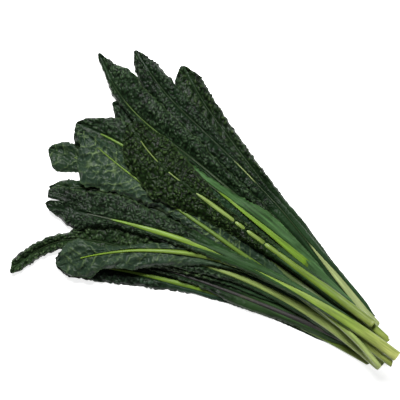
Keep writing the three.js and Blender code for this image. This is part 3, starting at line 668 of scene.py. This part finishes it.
def makeStalk(leaf, number, bladeAt):
    # one bar from the cut end to the end of the rib
    tree = surfaceTree(f"leaf_{number:02d}_stalk")
    end = leaf["ribTo"] * leaf["length"] - bunch["slotGap"]
    deselectAll()
    bpy.ops.mesh.primitive_cylinder_add(vertices=bar["sides"], radius=1, depth=1, end_fill_type="NGON")
    stalk = bpy.context.object
    stalk.name = f"kaleStalk{number:02d}"
    bpy.ops.object.mode_set(mode="EDIT")
    bpy.ops.mesh.select_mode(type="FACE")
    bpy.ops.mesh.select_all(action="DESELECT")
    bpy.ops.object.mode_set(mode="OBJECT")
    for face in stalk.data.polygons:
        face.select = abs(face.normal.z) > 0.9
    bpy.ops.object.mode_set(mode="EDIT")
    bpy.ops.mesh.inset(thickness=bar["cutRim"])  # rim and core of the cut ends
    bpy.ops.mesh.poke()
    bpy.ops.mesh.select_mode(type="EDGE")
    bpy.ops.mesh.select_all(action="DESELECT")
    bpy.ops.object.mode_set(mode="OBJECT")
    corners = stalk.data.vertices
    for edge in stalk.data.edges:
        edge.select = abs(corners[edge.vertices[0]].co.z - corners[edge.vertices[1]].co.z) > 0.9
    bpy.ops.object.mode_set(mode="EDIT")
    bpy.ops.mesh.subdivide(number_cuts=int(end / bar["station"]))
    bpy.ops.object.mode_set(mode="OBJECT")

    mesh = stalk.data
    points = np.empty(len(mesh.vertices) * 3)
    mesh.vertices.foreach_get("co", points)
    points = points.reshape(-1, 3)
    reach = np.hypot(points[:, 0], points[:, 1])
    turn = np.arctan2(points[:, 1], points[:, 0])
    s = np.clip((points[:, 2] + 0.5) * end, 0, end)

    line = np.linspace(0.5, end - 0.5, 110)
    x, y = placeOn(leaf, line, line * 0)
    lift, beside = bladeAt(line)
    half = stalkHalf(leaf, line)
    top = blur(fillGaps(heights(tree, x, y)[:, None]), 6, 0)[:, 0] + lift
    bottom = blur(fillGaps(heights(tree, x, y, down=False)[:, None]), 6, 0)[:, 0] + lift
    over = bar["overBladeDown"] * half if leaf["faceDown"] else bar["overBlade"]
    top = np.maximum(top, beside + over)
    hidden = sum(
        (line > low + opening) & (line < high - point) for low, high, opening, point in leaf["ribHide"]
    )
    top = blur(top[:, None], 3, 0)[:, 0] - bar["sink"] * hidden
    top, bottom, half = np.interp(s, line, top), np.interp(s, line, bottom), stalkHalf(leaf, s)
    middle = mix(bottom, top, bar["middleDown"] if leaf["faceDown"] else bar["middle"])

    ribs = 1 + bar["fluteDepth"] * np.sin(bar["flutes"] * turn + bar["fluteTurn"] * s) * (reach > 0.9)
    side = np.cos(turn)
    up = np.sin(turn)
    a = half * np.sign(side) * np.abs(side) ** bar["squareAcross"] * reach * ribs
    tall = np.where(up > 0, top - middle, middle - bottom)
    b = tall * np.sign(up) * np.abs(up) ** bar["squareUp"] * reach * ribs
    if not leaf["faceDown"]:
        groove = np.exp(-((a / (bar["grooveWidth"] * half)) ** 2))
        b -= bar["groove"] * half * groove * (up > 0) * reach
    rounded = 1 - bar["endRound"] * np.exp(-s / bar["endLength"])
    a = a * rounded + bar["drift"] * wander(seeds["drift"] + number, leaf["length"], bar["driftPitch"])(s)
    b = b * rounded
    slant = bar["slant"] * (1 + points[:, 0] * math.sin(number * bar["slantTurn"]))
    cut = np.where(s < 0.01, slant + bar["bulge"] * (1 - reach), 0)
    x, y = placeOn(leaf, np.clip(np.maximum(s, leaf["trim"]) + cut, 0, None), a)
    z = np.maximum(middle + b, bar["lowest"])
    addToPile(x, y, z)
    mesh.vertices.foreach_set("co", (np.stack([x, y, z], 1) * mm).ravel())

    loops = np.empty(len(mesh.loops), int)
    mesh.loops.foreach_get("vertex_index", loops)
    around = (turn / (2 * math.pi))[loops]
    mesh.uv_layers[0].data.foreach_set("uv", np.stack([s[loops] * 0.01, around], 1).ravel())
    shown = sum(smoothStep((s - low + 8) / 8) * smoothStep((high + 8 - s) / 8) for low, high in leaf["pale"])
    setAttribute(mesh, "along", s / leaf["length"])
    setAttribute(mesh, "dim", 1 - np.clip(shown, 0, 1))
    # how far up the bar faces: the mask for the painted highlight on its top and the painted shade on its
    # flanks
    setAttribute(mesh, "crownLight", smoothStep(0.75 * up + 0.2) * reach)
    setAttribute(mesh, "core", np.where((s < 0.01) & (reach < 0.95), 1, 0))
    mesh.update()
    bpy.ops.object.shade_smooth()
    bpy.ops.object.shade_smooth_by_angle(angle=math.radians(bar["smoothAngle"]))
    return stalk


# One socket of a material, so that shader maths reads as Python.
class Wire:
    def __init__(self, paint, socket):
        self.paint = paint
        self.socket = socket

    def to(self, operation, other, swapped=False):
        pair = (other, self) if swapped else (self, other)
        return self.paint.node("ShaderNodeMath", {"operation": operation}, {0: pair[0], 1: pair[1]})

    def __add__(self, other):
        return self.to("ADD", other)

    def __sub__(self, other):
        return self.to("SUBTRACT", other)

    def __rsub__(self, other):
        return self.to("SUBTRACT", other, True)

    def __mul__(self, other):
        return self.to("MULTIPLY", other)

    def clamped(self):
        return self.paint.node("ShaderNodeClamp", {}, {"Value": self})

    def sharpened(self, gain, below):
        return (self * gain - below).clamped()


class Paint:
    def __init__(self, name):
        self.material = bpy.data.materials.new(name)
        self.material.use_nodes = True
        self.tree = self.material.node_tree
        self.shader = self.tree.nodes["Principled BSDF"]

    def set(self, socket, value):
        if isinstance(value, Wire):
            self.tree.links.new(value.socket, socket)
        elif isinstance(value, tuple) and len(value) == 3 and socket.type == "RGBA":
            socket.default_value = (*value, 1)
        else:
            socket.default_value = value

    def node(self, kind, settings, inputs, output=0):
        made = self.tree.nodes.new(kind)
        for key, value in settings.items():
            setattr(made, key, value)
        for key, value in inputs.items():
            self.set(made.inputs[key], value)
        return Wire(self, made.outputs[output])

    def attribute(self, name):
        return self.node("ShaderNodeAttribute", {"attribute_name": name}, {}, "Fac")

    def blend(self, share, low, high):
        return self.node("ShaderNodeMix", {"data_type": "RGBA"}, {0: share, 6: low, 7: high}, 2)

    def noise(self, where, scale, detail=3.0, roughness=0.55):
        inputs = {"Vector": where, "Scale": scale, "Detail": detail, "Roughness": roughness}
        return self.node("ShaderNodeTexNoise", {}, inputs)

    def bump(self, height, strength, distance):
        return self.node("ShaderNodeBump", {}, {"Height": height, "Strength": strength, "Distance": distance})

    def finish(self, **inputs):
        for key, value in inputs.items():
            self.set(self.shader.inputs[key.replace("_", " ")], value)
        return self.material


# Colours that all leaves share, the highlight painted along the margins among them, and the bump of their
# skins.
shared = {
    "rim": (0.060, 0.105, 0.030), "blotch": (0.42, 0.46, 0.20), "core": (0.46, 0.48, 0.16),
    "bladeBump": (0.7, 0.0007), "stalkBump": (0.35, 0.0006), "index": 1.45,
}


def scaled(colour, share):
    return tuple(share * c for c in colour)


def bladePaint(leaf, number):
    paint = Paint(f"kaleBladeSkin{number:02d}")
    where = paint.node("ShaderNodeTexCoord", {}, {}, "Object")
    flat = paint.node("ShaderNodeUVMap", {}, {})
    puffHighlight, creviceShade, vein = paint.attribute("puffHighlight"), paint.attribute("creviceShade"), paint.attribute("vein")
    rim, blistered = paint.attribute("rim"), paint.attribute("blistered")
    patches = paint.noise(where, 30.0, 2.0)
    speckle = paint.noise(where, 420.0, 3.0)
    drawnOut = paint.node("ShaderNodeMapping", {}, {"Vector": flat, "Scale": (2.4, 48.0, 1.0)})
    streaks = paint.noise(drawnOut, 1.0, 4.0, 0.6)
    plain = paint.blend(streaks.sharpened(3.6, 1.3), scaled(leaf["plain"], 0.4), leaf["plain"])
    # the smooth part gets darker streaks, and lighter streaks and patches that are painted highlight lines
    # and sheen
    plain = paint.blend(streaks.sharpened(6, 3.6) * 0.5, plain, scaled(leaf["plain"], 2.6))
    plain = paint.blend(patches.sharpened(2.4, 1.1) * 0.5, plain, scaled(leaf["plain"], 1.7))
    colour = paint.blend(patches.sharpened(2.2, 0.6), leaf["dark"], leaf["mid"])
    # painted shade: the creases between the blisters are darkened
    colour = paint.blend(creviceShade * 0.95, colour, scaled(leaf["dark"], 0.15))
    # painted highlight: lighter flecks on the tops of the blisters
    colour = paint.blend((puffHighlight * puffHighlight * puffHighlight * (speckle * 3 - 0.8)).clamped(), colour, leaf["crestHighlight"])
    colour = paint.blend(blistered.sharpened(1.4, 0.1), plain, colour)
    colour = paint.blend((vein * vein * leaf["veinShare"]).clamped(), colour, leaf["vein"])
    # painted highlight: a lighter line along the margins
    colour = paint.blend(rim * 0.35, colour, shared["rim"])
    rough = speckle * 0.3 + 0.26 + (1 - blistered) * 0.16
    grain = paint.node("ShaderNodeTexVoronoi", {"feature": "SMOOTH_F1"}, {"Vector": where, "Scale": 480.0})
    skin = (speckle - grain * 0.7) * blistered + streaks * (1 - blistered) * 0.7
    normal = paint.bump(skin, *shared["bladeBump"])
    return paint.finish(
        Base_Color=colour, Roughness=rough.clamped(), Normal=normal,
        Specular_IOR_Level=0.17, IOR=shared["index"],
    )


def stalkPaint(leaf, number):
    paint = Paint(f"kaleStalkSkin{number:02d}")
    flat = paint.node("ShaderNodeUVMap", {}, {})
    where = paint.node("ShaderNodeTexCoord", {}, {}, "Object")
    streaked = paint.node("ShaderNodeMapping", {}, {"Vector": flat, "Scale": (1.3, 5.0, 1.0)})
    streaks = paint.noise(streaked, 3.2, 4.0, 0.6)
    blotches = paint.noise(where, 60.0, 3.0)
    along, dim, core = paint.attribute("along"), paint.attribute("dim"), paint.attribute("core")
    crownLight = paint.attribute("crownLight")
    colour = paint.blend((along * 6).clamped(), leaf["stalkEnd"], leaf["stalkMid"])
    colour = paint.blend(along.sharpened(2, 0.6), colour, leaf["stalkTip"])
    stripeAndFlankShade = scaled(leaf["stalkMid"], 0.38)
    crownHighlight = tuple(1.5 * c + 0.05 for c in leaf["stalkMid"])
    # darker lengthwise stripes, the stalk's own colour
    colour = paint.blend(streaks.sharpened(3.4, 1.3) * 0.75, colour, stripeAndFlankShade)
    # painted highlight: lighter streaks along the top of the bar
    colour = paint.blend((1.25 - streaks * 3.2).clamped() * crownLight * 0.55, colour, crownHighlight)
    # painted shade: the flanks of the bar are darkened
    colour = paint.blend((1 - crownLight) * 0.9, colour, stripeAndFlankShade)
    colour = paint.blend(blotches.sharpened(3, 1.75) * 0.3, colour, shared["blotch"])
    colour = paint.blend(dim, colour, leaf["rib"])
    colour = paint.blend(core, colour, shared["core"])
    normal = paint.bump(streaks, *shared["stalkBump"])
    rough = streaks * 0.2 + 0.3
    return paint.finish(
        Base_Color=colour, Roughness=rough.clamped(), Normal=normal,
        Specular_IOR_Level=0.4, IOR=shared["index"],
    )


bladeTrees = [surfaceTree(f"leaf_{number:02d}_blade") for number in range(1, len(leaves) + 1)]
for number, leaf in enumerate(leaves, 1):
    blade, bladeAt = makeBlade(leaf, number, bladeTrees)
    blade.data.materials.append(bladePaint(leaf, number))
    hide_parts(f"leaf_{number:02d}_blade")
    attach(blade, "root")
    stalk = makeStalk(leaf, number, bladeAt)
    stalk.data.materials.append(stalkPaint(leaf, number))
    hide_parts(f"leaf_{number:02d}_stalk")
    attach(stalk, "root")
    print("leaf", number, "has", len(blade.data.polygons), "and", len(stalk.data.polygons), "faces")

# The table, the light and the camera. The camera looks straight down, turned as the photograph is.
view = {"middle": (40.0, -29.7), "turn": 213.5, "width": 380, "height": 900, "level": 20, "sensor": 36}
light = {
    "sky": 0.075, "floor": (0.9, 0.9, 0.9), "glow": 0.77,
    "keyPlace": (0.45, -0.45, 0.95), "keyPower": 18.0, "keySize": 0.35,
    "fillPlace": (-0.6, 0.8, 1.0), "fillPower": 0.7, "fillSize": 1.2,
}

deselectAll()
bpy.ops.mesh.primitive_plane_add(size=8)
floor = bpy.context.object
floor.name = "tableTop"
floorPaint = Paint("tablePaper")
floor.data.materials.append(floorPaint.finish(
    Base_Color=light["floor"], Roughness=0.9, Emission_Color=(1.0, 1.0, 1.0), Emission_Strength=light["glow"]
))

camera = bpy.data.objects.new("camera", bpy.data.cameras.new("camera"))
bpy.context.scene.collection.objects.link(camera)
camera.location = (view["middle"][0] * mm, view["middle"][1] * mm, view["height"] * mm)
camera.rotation_euler = (0, 0, math.radians(view["turn"]))
camera.data.sensor_width = view["sensor"]
camera.data.lens = view["sensor"] * (view["height"] - view["level"]) / view["width"]
camera.data.clip_start, camera.data.clip_end = 0.01, 20
bpy.context.scene.camera = camera


def addArea(name, place, power, size):
    lamp = bpy.data.objects.new(name, bpy.data.lights.new(name, "AREA"))
    lamp.data.energy = power
    lamp.data.size = size
    lamp.location = place
    lamp.rotation_euler = (-Vector(place)).to_track_quat("-Z", "Y").to_euler()
    bpy.context.scene.collection.objects.link(lamp)


addArea("keyLight", light["keyPlace"], light["keyPower"], light["keySize"])
addArea("fillLight", light["fillPlace"], light["fillPower"], light["fillSize"])
world = bpy.data.worlds.new("studio")
world.use_nodes = True
world.node_tree.nodes["Background"].inputs["Color"].default_value = (1, 1, 1, 1)
world.node_tree.nodes["Background"].inputs["Strength"].default_value = light["sky"]
bpy.context.scene.world = world
bpy.context.scene.view_settings.view_transform = "Standard"
bpy.context.scene.view_settings.look = "None"
print("table, light and camera are set")
